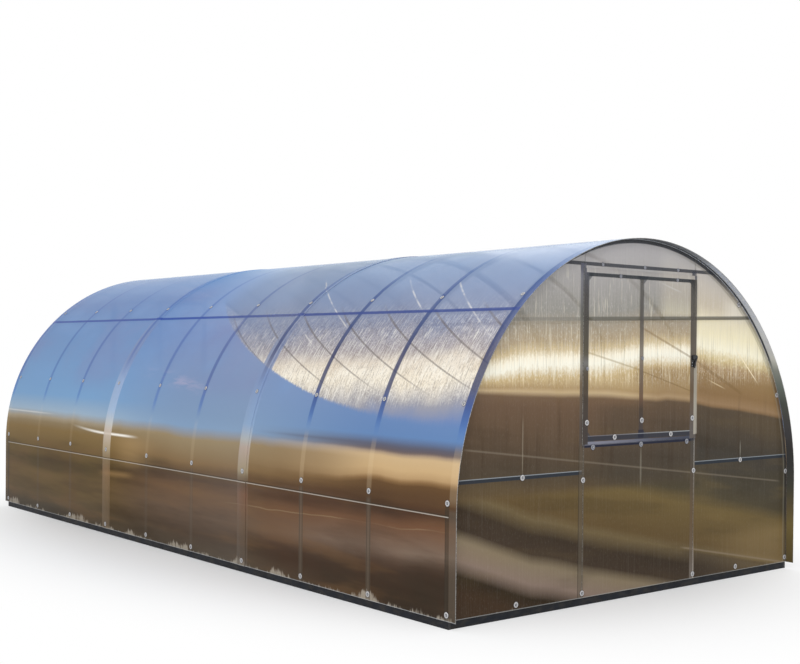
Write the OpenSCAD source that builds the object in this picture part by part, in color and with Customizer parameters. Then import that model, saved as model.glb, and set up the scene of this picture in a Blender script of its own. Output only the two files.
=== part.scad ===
// Arched greenhouse: a welded frame of square steel tube, clad with twin-wall polycarbonate sheet.
// +Z is up, the length runs along Y, and the origin is on the ground in the middle of the plan.
// The front gable is at -Y. Left and right on a gable are as seen from outside it.

/* [Overall size] */
// Width over the outer faces of the hoops' legs
width = 3000; // [2400:10:4000]
// Length over the outer faces of the end hoops
length = 6000; // [4000:10:10000]
// Height at which the straight legs become the arch
leg_h = 600; // [400:10:1000]

/* [Frame] */
// Side of the square tube
tube = 20; // [16:1:30]
// Wall of the square tube
tube_wall = 1.2; // [1:0.1:2]
// Height of the base rail's tube
rail_h = 40; // [30:1:60]
// Number of hoops
hoop_count = 10; // [7:3:16]
// Number of tube lengths in each hoop's arch
arch_lengths = 8; // [4:2:12]
// Depth of the lower purlin's centre line below the foot of the arch
low_purlin_drop = 30; // [20:1:200]
// Angle of the upper purlin above the foot of the arch
high_purlin_deg = 45; // [30:0.5:60]

/* [Gable] */
// Distance from the middle of the gable to the centre line of each post
post_x = 500; // [400:5:700]
// Depth of the tie bar's centre line below the crown of the hoops
tie_drop = 165; // [120:1:300]
// Height of the side rails' centre line above the ground
mid_rail_z = 752; // [300:1:900]
// Height of the sill rail's centre line above the ground
sill_z = 904; // [700:1:1200]

/* [Window] */
// Gap between the sash and each post
sash_side_gap = 3; // [2:0.5:8]
// Gap between the sash and the sill rail
sash_low_gap = 20; // [5:1:40]
// Gap between the sash and the tie bar
sash_high_gap = 40; // [5:1:60]
// Distance by which the sash's sheet reaches past its frame
sash_lap = 24; // [10:1:30]
// Depth of the latch below the middle of the sash
latch_drop = 25; // [0:1:200]
// Length of each hinge
hinge_len = 60; // [40:1:100]
// Distance from the top and bottom of the sash to the middle of a hinge
hinge_inset = 160; // [80:5:250]

/* [Sheets] */
// Thickness of a sheet
sheet_t = 4; // [3:0.5:10]
// Distance by which the bent sheets reach past the end hoops
overhang = 60; // [20:5:120]
// Width of the lap between two bent sheets
sheet_lap = 80; // [40:5:120]
// Gap between a sheet and what carries it
seat = 0.3; // [0.2:0.1:0.5]
// Gap between the edges of neighbouring sheets
sheet_joint = 2; // [1:0.5:5]

/* [Hidden] */
$fn = 48;
arch_fn = 720;

steel = [0.20, 0.23, 0.28];
roof_tint = [0.52, 0.60, 0.76, 0.5];
gable_tint = [0.60, 0.50, 0.34, 0.5];
black = [0.06, 0.06, 0.07];

arch_r = width / 2;
arch_in_r = arch_r - tube;
crown_z = leg_h + arch_r;
low_purlin_z = leg_h - low_purlin_drop;
tie_z = crown_z - tie_drop;
bay = (length - tube) / (hoop_count - 1);
bays_per_sheet = (hoop_count - 1) / 3;
sheet_foot_z = rail_h + sheet_joint;
gable_sheet_r = arch_r - sheet_joint / 2;
post_in_x = post_x - tube / 2;
post_out_x = post_x + tube / 2;

sash_x = post_in_x - sash_side_gap;
sash_z0 = sill_z + tube / 2 + sash_low_gap;
sash_z1 = tie_z - tube / 2 - sash_high_gap;
sash_y = -seat - sheet_t;
sash_face_y = sash_y - seat;
sheet_gap = 5;

hinge_r = 4.5;
hinge_leaf = 18;
hinge_leaf_t = 2;
latch_base = [26, 58, 3];
latch_knob_r = 9;
latch_knob_h = 9;
latch_lever = [13, 78, 6];

// Position of a hoop's centre line along the length; hoop 1 is at the front.
function hoop_y(number) = -length / 2 + tube / 2 + (number - 1) * bay;

// Turns a flat shape drawn in X and Z into a body that is depth thick along +Y.
module along_y(depth) {
    translate([0, depth, 0]) rotate([90, 0, 0]) linear_extrude(depth) children();
}

// The upright area under an arch of radius r, down to the ground.
module arch_area(r) {
    intersection() {
        union() {
            translate([0, leg_h]) circle(r, $fn = arch_fn);
            translate([-r, 0]) square([2 * r, leg_h]);
        }
        translate([-r, 0]) square([2 * r, leg_h + r]);
    }
}

// A band that follows the arch between two radii, from the height foot_z up.
module arch_band(r_in, r_out, foot_z) {
    difference() {
        arch_area(r_out);
        arch_area(r_in);
        translate([-r_out - 1, -1]) square([2 * r_out + 2, foot_z + 1]);
    }
}

// A hollow bar along X from x0 to x1, with its section given in Y and Z from the corner [0, 0].
module bar_x(x0, x1, deep, high) {
    translate([x0, 0, 0]) difference() {
        cube([x1 - x0, deep, high]);
        translate([-1, tube_wall, tube_wall])
            cube([x1 - x0 + 2, deep - 2 * tube_wall, high - 2 * tube_wall]);
    }
}

// A hollow bar along Y.
module bar_y(y0, y1, wide, high) {
    translate([0, y0, 0]) difference() {
        cube([wide, y1 - y0, high]);
        translate([tube_wall, -1, tube_wall])
            cube([wide - 2 * tube_wall, y1 - y0 + 2, high - 2 * tube_wall]);
    }
}

// A hollow bar along Z.
module bar_z(z0, z1) {
    translate([0, 0, z0]) difference() {
        cube([tube, tube, z1 - z0]);
        translate([tube_wall, tube_wall, -1])
            cube([tube - 2 * tube_wall, tube - 2 * tube_wall, z1 - z0 + 2]);
    }
}

// Places a gable's pieces: Y is 0 on the frame's outer face and grows inwards.
module at_front() {
    translate([0, -length / 2, 0]) children();
}

module at_rear() {
    rotate([0, 0, 180]) translate([0, -length / 2, 0]) children();
}

// ---- base frame ----

module base_rail_side(x) {
    color(steel) translate([x, 0, 0]) bar_y(-length / 2, length / 2, tube, rail_h);
}

module base_rail_end() {
    color(steel) bar_x(-arch_in_r, arch_in_r, tube, rail_h);
}

// ---- hoops and purlins ----

// The flat ring of a bent tube between two angles, around the middle of the foot of the arch.
module bent_ring(r_in, r_out, a0, a1) {
    intersection() {
        difference() {
            circle(r_out, $fn = arch_fn);
            circle(r_in, $fn = arch_fn);
        }
        polygon([[0, 0], 2 * r_out * [cos(a0), sin(a0)], 2 * r_out * [cos(a1), sin(a1)]]);
    }
}

// A hollow length of bent tube between two angles.
module bent_bar(a0, a1) {
    difference() {
        along_y(tube) bent_ring(arch_in_r, arch_r, a0, a1);
        translate([0, tube_wall, 0]) along_y(tube - 2 * tube_wall)
            bent_ring(arch_in_r + tube_wall, arch_r - tube_wall, a0 - 1, a1 + 1);
    }
}

// Two straight legs and the lengths of the arch, end to end.
module hoop(number) {
    step = 180 / arch_lengths;
    half_seat = seat / 2 / arch_r * 180 / PI;
    color(steel) translate([0, hoop_y(number) - tube / 2, 0]) {
        for (x = [-arch_r, arch_in_r])
            translate([x, 0, 0]) bar_z(rail_h, leg_h - seat / 2);
        translate([0, 0, leg_h]) for (part = [1 : arch_lengths])
            bent_bar((part - 1) * step + half_seat, part * step - half_seat);
    }
}

// One length of purlin in each bay, between the faces of its two hoops.
module purlin_row() {
    for (number = [1 : hoop_count - 1])
        bar_y(hoop_y(number) + tube / 2, hoop_y(number + 1) - tube / 2, tube, tube);
}

// side is -1 on the left and 1 on the right.
module purlin_lower(side) {
    color(steel)
        translate([side * (arch_r - tube / 2) - tube / 2, 0, low_purlin_z - tube / 2]) purlin_row();
}

// The upper purlin's outer corners meet the arch's outer radius.
module purlin_upper(side) {
    flat_r = sqrt(arch_r * arch_r - tube * tube / 4);
    color(steel) translate([0, 0, leg_h]) rotate([0, -side * high_purlin_deg, 0])
        translate([side * (flat_r - tube / 2) - tube / 2, 0, -tube / 2]) purlin_row();
}

// ---- bent sheets ----

module bent_skin(y0, y1, r_in) {
    translate([0, y0, 0]) along_y(y1 - y0) arch_band(r_in, r_in + sheet_t, sheet_foot_z);
}

// An end sheet, from its free edge to half a lap past the hoop where the middle sheet begins.
module roof_sheet_end() {
    color(roof_tint)
        bent_skin(-length / 2 - overhang, hoop_y(1 + bays_per_sheet) + sheet_lap / 2, arch_r + seat);
}

// The middle sheet steps out by its own thickness to lap over both end sheets.
module roof_sheet_middle() {
    lap_hoop_y = hoop_y(1 + bays_per_sheet);
    step_y = lap_hoop_y + sheet_lap / 2 + sheet_joint;
    lip_r = arch_r + 2 * seat + sheet_t;
    color(roof_tint) union() {
        bent_skin(step_y, -step_y, arch_r + seat);
        for (turn = [0, 180]) rotate([0, 0, turn]) {
            bent_skin(lap_hoop_y - sheet_lap / 2, step_y + sheet_t, lip_r);
            bent_skin(step_y, step_y + sheet_t, arch_r + seat + sheet_t / 2);
        }
    }
}

// ---- gable frame ----

// Keeps what lies inside the end hoop.
module inside_hoop() {
    intersection() {
        children();
        translate([0, -1, 0]) along_y(tube + 2) arch_area(arch_in_r - seat);
    }
}

module posts() {
    color(steel) for (side = [-1, 1])
        translate([side * post_x - tube / 2, 0, 0]) bar_z(rail_h, tie_z - tube / 2);
}

module tie_bar() {
    color(steel) inside_hoop()
        translate([0, 0, tie_z - tube / 2]) bar_x(-arch_r, arch_r, tube, tube);
}

module mid_rails() {
    color(steel) inside_hoop() translate([0, 0, mid_rail_z - tube / 2]) {
        bar_x(-arch_r, -post_out_x, tube, tube);
        bar_x(post_out_x, arch_r, tube, tube);
    }
}

module sill_rail() {
    color(steel) translate([0, 0, sill_z - tube / 2]) bar_x(-post_in_x, post_in_x, tube, tube);
}

// ---- gable sheets ----

// A flat sheet on the gable frame: the part of the gable between the given limits.
module gable_sheet(x0, x1, z0, z1) {
    color(gable_tint) translate([0, -seat - sheet_t, 0]) along_y(sheet_t) intersection() {
        arch_area(gable_sheet_r);
        translate([x0, z0]) square([x1 - x0, z1 - z0]);
    }
}

module sheet_side(side) {
    edge = post_x + sheet_joint / 2;
    x0 = side < 0 ? -arch_r : edge;
    gable_sheet(x0, x0 + arch_r - edge, sheet_foot_z, crown_z);
}

module sheet_top() {
    edge = post_x - sheet_joint / 2;
    gable_sheet(-edge, edge, sash_z1 + sheet_gap, crown_z);
}

module sheet_lower() {
    edge = post_x - sheet_joint / 2;
    gable_sheet(-edge, edge, sheet_foot_z, sash_z0 - sheet_gap);
}

// ---- window ----

module window_frame() {
    inner = tube - 2 * tube_wall;
    stiles = [-sash_x, -tube / 2, sash_x - tube];
    color(steel) translate([0, sash_y, 0]) difference() {
        union() {
            for (x = stiles)
                translate([x, 0, sash_z0]) cube([tube, tube, sash_z1 - sash_z0]);
            for (z = [sash_z0, sash_z1 - tube])
                translate([-sash_x, 0, z]) cube([2 * sash_x, tube, tube]);
        }
        for (x = stiles)
            translate([x + tube_wall, tube_wall, sash_z0 - 1]) cube([inner, inner, sash_z1 - sash_z0 + 2]);
        for (z = [sash_z0, sash_z1 - tube])
            translate([-sash_x + tube_wall, tube_wall, z + tube_wall])
                cube([2 * (sash_x - tube_wall), inner, inner]);
    }
}

module window_sheet() {
    color(gable_tint)
        translate([-sash_x - sash_lap, sash_face_y - sheet_t, sash_z0 - sash_lap])
        cube([2 * (sash_x + sash_lap), sheet_t, sash_z1 - sash_z0 + 2 * sash_lap]);
}

// Two leaf hinges inside the gable, between the left post and the sash.
module window_hinges() {
    gap_x = -post_in_x + sash_side_gap / 2;
    color(steel) for (z = [sash_z0 + hinge_inset, sash_z1 - hinge_inset])
        translate([gap_x, tube, z - hinge_len / 2]) {
            translate([0, hinge_r, 0]) cylinder(r = hinge_r, h = hinge_len);
            translate([-hinge_leaf, 0, 0]) cube([hinge_leaf, hinge_leaf_t, hinge_len]);
            translate([sash_side_gap / 2, sash_y, 0])
                cube([hinge_leaf, hinge_leaf_t - sash_y, hinge_len]);
        }
}

// A turn latch on the sash's right stile: its base plate, its knob and its upright lever.
module window_latch() {
    color(black) translate([sash_x - tube / 2, sash_face_y - sheet_t, (sash_z0 + sash_z1) / 2 - latch_drop]) {
        translate([-latch_base.x / 2, -latch_base.z, -latch_base.y / 2])
            cube([latch_base.x, latch_base.z, latch_base.y]);
        rotate([90, 0, 0]) cylinder(r = latch_knob_r, h = latch_base.z + latch_knob_h);
        translate([-latch_lever.x / 2, -latch_base.z - latch_knob_h, -latch_lever.y / 2])
            cube([latch_lever.x, latch_lever.z, latch_lever.y]);
    }
}

// ---- nodes ----

base_rail_side(-arch_r);  // base_rail_left
base_rail_side(arch_in_r);  // base_rail_right
at_front() base_rail_end();  // base_rail_front
at_rear() base_rail_end();  // base_rail_rear
hoop(1);  // hoop_01
hoop(2);  // hoop_02
hoop(3);  // hoop_03
hoop(4);  // hoop_04
hoop(5);  // hoop_05
hoop(6);  // hoop_06
hoop(7);  // hoop_07
hoop(8);  // hoop_08
hoop(9);  // hoop_09
hoop(10);  // hoop_10
purlin_lower(-1);  // purlin_left_lower
purlin_upper(-1);  // purlin_left_upper
purlin_lower(1);  // purlin_right_lower
purlin_upper(1);  // purlin_right_upper
roof_sheet_end();  // roof_sheet_front
roof_sheet_middle();
rotate([0, 0, 180]) roof_sheet_end();  // roof_sheet_rear
at_front() posts();  // front_posts
at_front() tie_bar();  // front_tie_bar
at_front() mid_rails();  // front_mid_rails
at_front() sill_rail();  // front_sill_rail
at_front() sheet_side(-1);  // front_sheet_left
at_front() sheet_side(1);  // front_sheet_right
at_front() sheet_top();  // front_sheet_top
at_front() sheet_lower();  // front_sheet_lower
at_front() window_frame();  // front_window_frame
at_front() window_sheet();  // front_window_sheet
at_front() window_latch();  // front_window_latch
at_front() window_hinges();  // front_window_hinges
at_rear() posts();  // rear_posts
at_rear() tie_bar();  // rear_tie_bar
at_rear() mid_rails();  // rear_mid_rails
at_rear() sill_rail();  // rear_sill_rail
at_rear() sheet_side(-1);  // rear_sheet_left
at_rear() sheet_side(1);  // rear_sheet_right
at_rear() sheet_top();  // rear_sheet_top
at_rear() sheet_lower();  // rear_sheet_lower
at_rear() window_frame();  // rear_window_frame
at_rear() window_sheet();  // rear_window_sheet
at_rear() window_latch();  // rear_window_latch
at_rear() window_hinges();  // rear_window_hinges
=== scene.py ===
"""Visual model of an arched polycarbonate greenhouse, built round its CAD frame."""
import math

import bmesh
import bpy
from mathutils import Matrix, Vector


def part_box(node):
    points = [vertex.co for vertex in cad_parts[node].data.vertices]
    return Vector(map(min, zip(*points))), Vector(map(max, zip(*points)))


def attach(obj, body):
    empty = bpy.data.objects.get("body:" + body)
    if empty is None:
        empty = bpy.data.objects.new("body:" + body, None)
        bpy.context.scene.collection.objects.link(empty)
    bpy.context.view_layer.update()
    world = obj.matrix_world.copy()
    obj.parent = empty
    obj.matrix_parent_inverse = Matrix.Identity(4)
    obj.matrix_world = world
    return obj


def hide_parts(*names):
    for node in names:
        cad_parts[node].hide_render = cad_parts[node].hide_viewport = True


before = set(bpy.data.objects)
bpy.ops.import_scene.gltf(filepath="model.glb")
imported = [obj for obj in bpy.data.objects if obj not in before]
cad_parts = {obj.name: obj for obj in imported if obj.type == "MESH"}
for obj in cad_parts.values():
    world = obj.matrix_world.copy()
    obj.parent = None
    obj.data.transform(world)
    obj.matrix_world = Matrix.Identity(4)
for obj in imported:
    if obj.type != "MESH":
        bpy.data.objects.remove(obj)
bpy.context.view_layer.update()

# ---- sizes in metres, most taken from the CAD frame ----

def middle(node):
    """The middle of a CAD node's box."""
    lo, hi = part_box(node)
    return (lo + hi) / 2


HOOPS = sorted(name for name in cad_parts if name.startswith("hoop_"))
ARCH_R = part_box(HOOPS[0])[1].x
CROWN_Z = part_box(HOOPS[0])[1].z
LEG_H = CROWN_Z - ARCH_R
RAIL_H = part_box("base_rail_left")[1].z
HOOP_Y = [middle(name).y for name in HOOPS]
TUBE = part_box(HOOPS[0])[1].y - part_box(HOOPS[0])[0].y
HALF = TUBE / 2
BAY = HOOP_Y[1] - HOOP_Y[0]
END_Y = -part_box(HOOPS[0])[0].y
WALL = 0.0012
SHEET = 0.004
SEAT = 0.0003
SHEET_END = abs(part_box("roof_sheet_front")[0].y)
LAP_HOOPS = [HOOP_Y[len(HOOP_Y) // 3], HOOP_Y[-1 - len(HOOP_Y) // 3]]
LOW_PURLIN_Z = middle("purlin_left_lower").z
HIGH_PURLIN = math.radians(45)
POST_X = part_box("front_posts")[1].x - HALF
TIE_Z = middle("front_tie_bar").z
MID_Z = middle("front_mid_rails").z
SILL_Z = middle("front_sill_rail").z
SASH_LO, SASH_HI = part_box("front_window_frame")
PANE_LO, PANE_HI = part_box("front_window_sheet")
FACE_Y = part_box("front_sheet_lower")[0].y
FOOT_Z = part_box("front_sheet_lower")[0].z


# ---- mesh building ----

def rounded(half_a, half_b, radius, steps=3):
    """A loop of points round a rectangle with rounded corners."""
    loop = []
    for quarter, (side_a, side_b) in enumerate(((1, 1), (-1, 1), (-1, -1), (1, -1))):
        for step in range(steps + 1):
            turn = math.radians(90 * (quarter + step / steps))
            loop.append((side_a * (half_a - radius) + radius * math.cos(turn),
                         side_b * (half_b - radius) + radius * math.sin(turn)))
    return loop


def tube_loops(size_a=TUBE, size_b=TUBE, radius=0.002):
    """The outer and inner loops of a hollow tube's section."""
    return [rounded(size_a / 2, size_b / 2, radius),
            rounded(size_a / 2 - WALL, size_b / 2 - WALL, radius - WALL * 0.6)]


def sweep(bm, loops, rings, closed=False, paint=None):
    """Skins the loops through the rings, which are functions that put a loop's point in space.
    paint gives the material of the strip that ends at each point; the caps take the first one."""
    made = [[[bm.verts.new(ring(*point)) for point in loop] for loop in loops] for ring in rings]
    after = made[1:] + made[:1] if closed else made[1:]
    for here, there in zip(made, after):
        for loop, ahead in zip(here, there):
            for i in range(len(loop)):
                face = bm.faces.new((loop[i - 1], loop[i], ahead[i], ahead[i - 1]))
                face.material_index = paint[i] if paint else 0
    if closed:
        return
    for end in (made[0], made[-1]):
        if len(end) == 1:
            bm.faces.new(end[0]).material_index = paint[0] if paint else 0
        else:
            for i in range(len(end[0])):
                bm.faces.new((end[0][i - 1], end[0][i], end[1][i], end[1][i - 1]))


def bar(bm, start, end, across, size_a=TUBE, size_b=TUBE):
    """A hollow rounded bar; across is the direction of its size_a."""
    start, end, across = Vector(start), Vector(end), Vector(across)
    other = (end - start).normalized().cross(across)
    rings = [lambda a, b, at=at: at + a * across + b * other for at in (start, end)]
    sweep(bm, tube_loops(size_a, size_b), rings)


def arch_rings(foot_z, steps=96):
    """Rings over the arch from foot to foot, for loops of (y, radius) points."""
    def ring(middle_z, out_x, out_z):
        return lambda y, r: Vector((r * out_x, y, middle_z + r * out_z))
    leg = [foot_z + (LEG_H - foot_z) * part / 4 for part in range(4)]
    rings = [ring(z, -1, 0) for z in leg]
    for step in range(steps + 1):
        turn = math.pi * step / steps
        rings.append(ring(LEG_H, -math.cos(turn), math.sin(turn)))
    return rings + [ring(z, 1, 0) for z in reversed(leg)]


def inset(outline, distance):
    """The outline, which runs counter-clockwise, moved inwards."""
    moved = []
    for i, point in enumerate(outline):
        before, ahead = outline[i - 1], outline[(i + 1) % len(outline)]
        normals = []
        for a, b in ((before, point), (point, ahead)):
            length = math.hypot(b[0] - a[0], b[1] - a[1])
            normals.append((-(b[1] - a[1]) / length, (b[0] - a[0]) / length))
        (ax, ay), (bx, by) = normals
        share = distance / (1 + ax * bx + ay * by)
        moved.append((point[0] + (ax + bx) * share, point[1] + (ay + by) * share))
    return moved


def plate(bm, outline, place, depth, bevel=0.0004, paint=(0, 0, 0)):
    """A flat plate with bevelled edges. place(u, v, w) puts a point of depth w in space.
    paint holds the materials of its outer face, inner face and edges."""
    small = inset(outline, bevel)
    levels = [(small, 0), (outline, bevel), (outline, depth - bevel), (small, depth)]
    made = [[bm.verts.new(place(u, v, w)) for u, v in points] for points, w in levels]
    for here, there in zip(made, made[1:]):
        for i in range(len(outline)):
            bm.faces.new((here[i - 1], here[i], there[i], there[i - 1])).material_index = paint[2]
    bm.faces.new(made[0]).material_index = paint[0]
    bm.faces.new(made[-1]).material_index = paint[1]


def lathe(bm, profile, matrix, steps=20, paint=0):
    """Turns (radius, height) points round Z and closes the shape at both ends."""
    profile = [(0, profile[0][1]), *profile]
    if profile[-1][0] > 0:
        profile.append((0, profile[-1][1]))
    rings = []
    for radius, height in profile:
        count = 1 if radius == 0 else steps
        turns = [2 * math.pi * i / steps for i in range(count)]
        rings.append([bm.verts.new(matrix @ Vector((radius * math.cos(t), radius * math.sin(t), height)))
                      for t in turns])
    for here, there in zip(rings, rings[1:]):
        for i in range(steps):
            if len(here) == 1:
                corners = (here[0], there[i], there[i - 1])
            elif len(there) == 1:
                corners = (here[i - 1], here[i], there[0])
            else:
                corners = (here[i - 1], here[i], there[i], there[i - 1])
            bm.faces.new(corners).material_index = paint


def add_object(name, data):
    """A new object in the scene."""
    made = bpy.data.objects.new(name, data)
    bpy.context.scene.collection.objects.link(made)
    return made


def piece(name, bm, materials, replaced=(), turn=None):
    """Makes the mesh an object of the greenhouse, in place of CAD nodes."""
    if turn is not None:
        bmesh.ops.transform(bm, matrix=turn, verts=bm.verts)
    bmesh.ops.recalc_face_normals(bm, faces=bm.faces)
    mesh = bpy.data.meshes.new(name)
    bm.to_mesh(mesh)
    bm.free()
    for material in materials:
        mesh.materials.append(material)
    mesh.polygons.foreach_set("use_smooth", [True] * len(mesh.polygons))
    mesh.set_sharp_from_angle(angle=math.radians(32))
    made = add_object(name, mesh)
    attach(made, "root")
    if replaced:
        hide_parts(*replaced)


# ---- shader building ----

def linear(code):
    """An sRGB code such as "7a9bc4" as linear red, green, blue and alpha."""
    parts = [int(code[i:i + 2], 16) / 255 for i in (0, 2, 4)]
    return [p / 12.92 if p <= 0.04045 else ((p + 0.055) / 1.055) ** 2.4 for p in parts] + [1]


def feed(tree, put, value):
    """Gives an input another node's output, a colour's code or a number."""
    if isinstance(value, Val):
        tree.links.new(value.socket, put)
    else:
        put.default_value = linear(value) if isinstance(value, str) else value


def add_node(tree, kind, puts, out=0, **settings):
    """A node with its settings and inputs, as the value that it gives."""
    node = tree.nodes.new("ShaderNode" + kind)
    for name, value in settings.items():
        setattr(node, name, value)
    for name, value in puts.items():
        feed(tree, node.inputs[name], value)
    return Val(tree, node.outputs[out])


def math_node(operation):
    return lambda self, *values: self.calc(operation, *values)


class Val:
    """A number or colour in a material. Python sums on it become Math nodes."""

    def __init__(self, tree, socket):
        self.tree, self.socket = tree, socket

    def calc(self, operation, *values):
        return add_node(self.tree, "Math", dict(enumerate((self, *values))), operation=operation)

    __add__, __sub__ = math_node("ADD"), math_node("SUBTRACT")
    __mul__, __truediv__ = math_node("MULTIPLY"), math_node("DIVIDE")
    __abs__ = math_node("ABSOLUTE")
    most, least = math_node("MAXIMUM"), math_node("MINIMUM")

    def __rsub__(self, other):
        return self.calc("MULTIPLY_ADD", -1, other)

    def squared(self):
        return self.calc("POWER", 2)

    def step(self, low, high):
        """0 at low and 1 at high, smooth between them; low may be the larger."""
        puts = dict(enumerate((self, low, high, 0.0, 1.0)))
        return add_node(self.tree, "MapRange", puts, interpolation_type="SMOOTHSTEP")

    def near(self, centre, half, soft=0.002):
        """1 within half of centre, with a soft edge."""
        return abs(self - centre).step(half + soft, half - soft)

    def band(self, low, high, soft=0.003):
        """1 between low and high, with soft edges."""
        return self.step(low - soft, low + soft) * self.step(high + soft, high - soft)

    def repeat(self, first, gap):
        """The distance to the nearest of the places gap apart, one of them at first."""
        return abs((((self - first) / gap + 0.5).calc("FRACT") - 0.5) * gap)

    def ramp(self, stops, low=0, high=CROWN_Z):
        """A colour for each value, from a few stops between low and high."""
        node = self.tree.nodes.new("ShaderNodeValToRGB")
        points = node.color_ramp.elements
        for i, (at, code) in enumerate(sorted(stops.items())):
            point = points[i] if i < 2 else points.new(1)
            point.position, point.color = (at - low) / (high - low), linear(code)
        feed(self.tree, node.inputs[0], (self - low) / (high - low))
        return Val(self.tree, node.outputs[0])

    def mix(self, first, second):
        """first where this is 0 and second where it is 1."""
        return add_node(self.tree, "Mix", {0: self, 6: first, 7: second}, 2, data_type="RGBA")


class Paint:
    """A material in the making, with the place on the greenhouse as x, y and z."""

    def __init__(self, name):
        self.material = bpy.data.materials.new(name)
        self.material.use_nodes = True
        self.tree = self.material.node_tree
        self.shader = self.tree.nodes["Principled BSDF"]
        place = self.tree.nodes.new("ShaderNodeTexCoord").outputs["Object"]
        split = self.tree.nodes.new("ShaderNodeSeparateXYZ")
        self.tree.links.new(place, split.inputs[0])
        self.x, self.y, self.z = (Val(self.tree, out) for out in split.outputs)

    def noise(self, scales, detail=2, roughness=0.5, shift=0, place=None):
        """Noise around 0.5, with its own scale along x, y and z."""
        place = place or (self.x, self.y, self.z)
        spread = {i: value * scale + shift for i, (value, scale) in enumerate(zip(place, scales))}
        vector = add_node(self.tree, "CombineXYZ", spread)
        puts = {"Vector": vector, "Scale": 1, "Detail": detail, "Roughness": roughness}
        return add_node(self.tree, "TexNoise", puts)

    def set(self, **values):
        """Feeds the shader's inputs, named with _ for a space."""
        for name, value in values.items():
            feed(self.tree, self.shader.inputs[name.replace("_", " ")], value)

    def bump(self, height, strength, distance):
        puts = {"Height": height, "Strength": strength, "Distance": distance}
        self.set(Normal=add_node(self.tree, "Bump", puts))


# ---- materials ----

SHEET_IOR = 1.1


def layered(colour, layers):
    """Lays colours over a colour, from layers of mask, colour and share."""
    for mask, code, share in layers:
        colour = (mask * share).mix(colour, code)
    return colour


def steel(name, plain, dark, dust, roughness, metallic=0.25, specular=0.5):
    """Weathered paint on steel: cloudy, a little streaked, with dust near the ground."""
    p = Paint(name)
    cloud = p.noise((9, 9, 9), detail=5, roughness=0.6)
    fine = p.noise((160, 160, 160), detail=3, shift=7)
    low = p.z.step(0.16, 0.02) * p.noise((14, 14, 30), detail=4, shift=3).step(0.4, 0.7)
    colour = (cloud * 0.7 + fine * 0.3).step(0.38, 0.62).mix(dark, plain)
    p.set(Base_Color=layered(colour, [(low, dust, 0.5)]), Roughness=fine * 0.3 + roughness,
          Metallic=metallic, Specular_IOR_Level=specular)
    p.bump(fine, 0.15, 0.0006)
    return p.material


def mottled(name, colour, other, roughness, metallic, scale, painted_shade=None):
    """Mottled plastic or metal. Its last colour is a painted shade over the washers on the sill and the
    upper window.
    """
    p = Paint(name)
    spots = p.noise((scale, scale, scale), detail=4)
    colour = spots.step(0.35, 0.65).mix(colour, other)
    if painted_shade:
        # painted shade: the washers on the sill and high on the window are darker
        there = p.z.band(0.87, 0.92, 0.01).most(p.z.step(1.2, 1.3)) * abs(p.x).step(0.62, 0.58)
        colour = layered(colour, [(there, painted_shade, 0.65)])
    p.set(Base_Color=colour, Roughness=spots * 0.2 + roughness, Metallic=metallic)
    p.bump(spots, 0.1, 0.0004)
    return p.material


# ---- the bent sheets' outer face ----

# painted reflection of sky, horizon and ground on the bent sheets: colours by height, in metres
ROOF_REAR = {0.04: "433b2e", 0.35: "625039", 0.49: "453a27", 0.74: "836b46", 0.8: "8a7757",
             0.835: "a0927a", 0.9: "9cb1c4", 1.03: "7ca4cd", 1.82: "6081b6", 2.06: "6a94c8",
             2.1: "8db2da"}
ROOF_MIDDLE = {0.04: "564b3d", 0.18: "4d3d2f", 0.3: "655140", 0.46: "6c523b", 0.54: "574333",
               0.61: "5c4a34", 0.66: "836947", 0.82: "968465", 0.9: "819cbb", 1.55: "7788b4",
               2.0: "88a3cb", 2.1: "b0c6e0"}
ROOF_FRONT = {0.04: "342b20", 0.26: "3d3025", 0.295: "4c3d31", 0.37: "7c6a5b", 0.51: "70503a",
              0.575: "4a3629", 0.69: "63492f", 0.71: "866744", 0.73: "b3936a", 0.77: "c4a57a",
              0.85: "c5a981", 0.872: "a58f77", 0.888: "64595a", 0.912: "5b5b68", 0.965: "6383b0",
              1.6: "7c8cb6", 2.0: "7896c6", 2.1: "8fadd4"}
# a painted bright reflection on the front of the roof: colours by height
GLOW = {1.0: "6581b4", 1.14: "9797a1", 1.26: "ebe0cc", 1.3: "f8eedb", 1.37: "ecdfcd", 1.44: "b5acae",
        1.6: "858da9", 2.03: "86a3cc", 2.1: "9bb8da"}
# the milky laps, with the painted reflection in them: colours by height
LAP = {0.1: "655b51", 0.3: "6c5a4a", 0.5: "876552", 0.57: "67574b", 0.65: "a2957c", 0.8: "b6a59b",
       0.85: "b0b2b1", 0.95: "8fa8c8", 1.25: "7c90b8", 1.6: "8a93b2"}
# the hoops behind the sheets, tinted by the painted reflection
HOOP = {1.0: "567ab2", 1.15: "40558c", 1.24: "494e6c", 1.4: "3f4468", 1.82: "4a639c", 2.02: "6a8cbe",
        2.1: "809fcc"}
# a painted highlight over the rear lap
LAP_HIGHLIGHT = {0.2: "8a7458", 0.5: "a89068", 0.66: "cdb694", 0.8: "f6ecda", 0.95: "d2e2f4", 1.3: "bccbe6"}
# the same towards the rear
HOOP_FAR = {1.0: "3d6cbc", 1.15: "3557a8", 1.3: "304d9c", 1.6: "304d9c", 1.85: "3f60aa", 2.1: "5578b8"}

# painted glints, thin bright lines: first y, slant, lowest and highest z
GLINTS = ((-1.68, 2.36, 1.55, 1.88), (-3, 1.94, 1.5, 1.83),
          (-1.48, 2.34, 1.42, 1.56), (-2.35, 2.09, 1.62, 1.84))


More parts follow.
